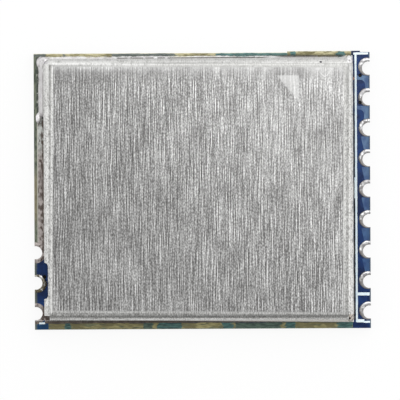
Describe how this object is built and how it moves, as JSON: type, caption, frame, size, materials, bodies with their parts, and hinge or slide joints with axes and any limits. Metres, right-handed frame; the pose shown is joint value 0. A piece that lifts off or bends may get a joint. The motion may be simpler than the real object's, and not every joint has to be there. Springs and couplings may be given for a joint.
{
  "type": "video receiver module",
  "caption": "Thin circuit board with half-hole contacts on two edges and a folded, soldered tinplate can over its radio parts; receives video when soldered to a carrier board.",
  "frame": {"origin": "middle of the board's underside", "axes": "+X along the long side towards the long contact row, +Y towards the back edge, +Z out of the lid"},
  "size_m": [0.028, 0.0231, 0.003],
  "materials": {
    "solder_mask": "dark blue solder mask over glass-epoxy laminate",
    "tinned_contact": "hot-tinned copper",
    "tinned_land": "dull tinned copper with flux stains",
    "tinplate": "tinplate brushed along the short side",
    "solder": "bright solder",
    "black_mould": "fine moulded epoxy",
    "lead_tin": "matte tin plating",
    "pale_ceramic": "fired alumina",
    "nickel_cap": "nickel plating",
    "gold_lid": "gold flash",
    "blue_ceramic": "fired ceramic",
    "brown_case": "moulded resin",
    "tantalum_case": "moulded resin",
    "ferrite": "sintered ferrite",
    "enamelled_copper": "enamelled copper wire",
    "capacitor_ceramic": "fired ceramic",
    "resistor_glaze": "glazed film",
    "inductor_ceramic": "fired ceramic"
  },
  "bodies": {
    "root": {"circuit_board": "solder_mask", "edge_contact_1": "tinned_contact", "edge_contact_2": "tinned_contact", "edge_contact_3": "tinned_contact", "edge_contact_4": "tinned_contact", "edge_contact_5": "tinned_contact", "edge_contact_6": "tinned_contact", "edge_contact_7": "tinned_contact", "edge_contact_8": "tinned_contact", "edge_contact_9": "tinned_contact", "edge_contact_10": "tinned_contact", "edge_contact_11": "tinned_contact", "edge_contact_12": "tinned_contact", "ground_land": "tinned_land", "shield_can": "tinplate", "shield_solder": "solder", "receiver_chip": "black_mould", "low_noise_amplifier": "black_mould", "voltage_regulator": "black_mould", "video_amplifier": "black_mould", "receiver_chip_leads": "lead_tin", "low_noise_amplifier_leads": "lead_tin", "voltage_regulator_leads": "lead_tin", "video_amplifier_leads": "lead_tin", "sound_filter_strips": "lead_tin", "tantalum_straps": "lead_tin", "choke_pads": "lead_tin", "band_filter_ends": "lead_tin", "chip_capacitor_ends": "lead_tin", "chip_resistor_ends": "lead_tin", "chip_inductor_ends": "lead_tin", "crystal_base": "pale_ceramic", "wave_filter_base": "pale_ceramic", "crystal_cap": "nickel_cap", "wave_filter_lid": "gold_lid", "band_filter": "blue_ceramic", "sound_filter_1": "brown_case", "sound_filter_2": "brown_case", "tantalum_capacitor_1": "tantalum_case", "tantalum_capacitor_2": "tantalum_case", "choke_core": "ferrite", "choke_winding": "enamelled_copper", "chip_capacitors": "capacitor_ceramic", "chip_resistors": "resistor_glaze", "chip_inductors": "inductor_ceramic"}
  },
  "joints": []
}
